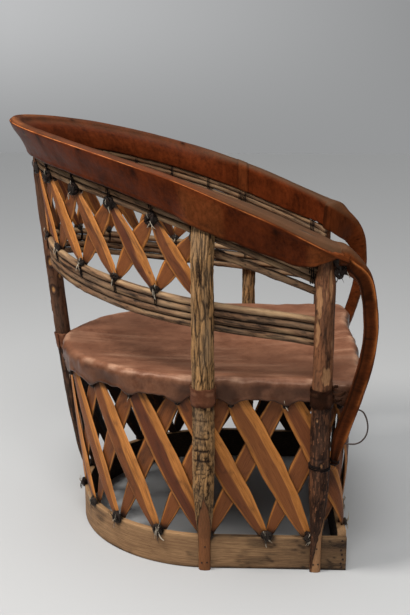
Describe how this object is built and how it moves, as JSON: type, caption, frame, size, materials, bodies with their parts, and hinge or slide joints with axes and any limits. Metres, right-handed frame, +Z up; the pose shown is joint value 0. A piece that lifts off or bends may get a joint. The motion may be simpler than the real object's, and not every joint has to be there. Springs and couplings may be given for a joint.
{
  "type": "equipale chair",
  "caption": "Low barrel chair of bark-on posts, split-wood lattice and bent rods, with a stretched hide seat and a leather-covered rim.",
  "frame": {"origin": "on the floor, below the middle of the chair's bounding box without its loop of lace", "axes": "+Z up, the sitter faces -Y, the sitter's right hand is on the -X side"},
  "size_m": [0.695, 0.7828, 0.8708],
  "materials": {
    "base_wood": "sawn and bent board, worn and bare",
    "dark_bark": "round pole with its dark reddish bark",
    "golden_bark": "round pole with furrowed golden bark",
    "split_wood": "hand-split slats, whittled and lightly oiled",
    "bent_rods": "peeled grey-brown rods",
    "rim_leather": "glazed reddish-brown leather, worn on the ridge",
    "seat_hide": "dusty stretched hide",
    "strap_hide": "dark shrunken hide",
    "rawhide": "twisted dry rawhide",
    "lace_leather": "thin leather lace",
    "nail_iron": "dark iron nail heads"
  },
  "bodies": {
    "root": {"base_band": "base_wood", "base_front_board": "base_wood", "post_back": "dark_bark", "post_right_middle": "golden_bark", "post_right_front": "dark_bark", "post_left_middle": "golden_bark", "post_left_front": "dark_bark", "seat_collar_back": "strap_hide", "seat_collar_right_middle": "strap_hide", "seat_collar_right_front": "strap_hide", "seat_collar_left_middle": "strap_hide", "seat_collar_left_front": "strap_hide", "seat_hoop": "bent_rods", "seat_hide": "seat_hide", "seat_slats_outer_01": "split_wood", "seat_slats_inner_01": "split_wood", "seat_slats_outer_02": "split_wood", "seat_slats_inner_02": "split_wood", "seat_slats_outer_03": "split_wood", "seat_slats_inner_03": "split_wood", "seat_slats_outer_04": "split_wood", "seat_slats_inner_04": "split_wood", "seat_slats_outer_05": "split_wood", "seat_slats_inner_05": "split_wood", "seat_slats_outer_06": "split_wood", "seat_slats_inner_06": "split_wood", "seat_slats_outer_07": "split_wood", "seat_slats_inner_07": "split_wood", "seat_slats_outer_08": "split_wood", "seat_slats_inner_08": "split_wood", "seat_slats_outer_09": "split_wood", "seat_slats_inner_09": "split_wood", "seat_slats_outer_10": "split_wood", "seat_slats_inner_10": "split_wood", "back_slats_outer_1": "split_wood", "back_slats_inner_1": "split_wood", "back_slats_outer_2": "split_wood", "back_slats_inner_2": "split_wood", "back_slats_outer_3": "split_wood", "back_slats_inner_3": "split_wood", "back_slats_outer_4": "split_wood", "back_slats_inner_4": "split_wood", "low_rail_rod_1": "bent_rods", "low_rail_rod_2": "bent_rods", "low_rail_rod_3": "bent_rods", "low_rail_rod_4": "bent_rods", "high_rail_rod_1": "bent_rods", "high_rail_rod_2": "bent_rods", "high_rail_rod_3": "bent_rods", "arm_rod_right": "bent_rods", "arm_rod_left": "bent_rods", "rim_rod": "bent_rods", "rim_leather": "rim_leather", "arm_bow_right": "rim_leather", "arm_bow_left": "rim_leather", "bow_lashing_right": "rawhide", "bow_lashing_left": "rawhide", "lace_loop": "lace_leather"}
  },
  "joints": []
}
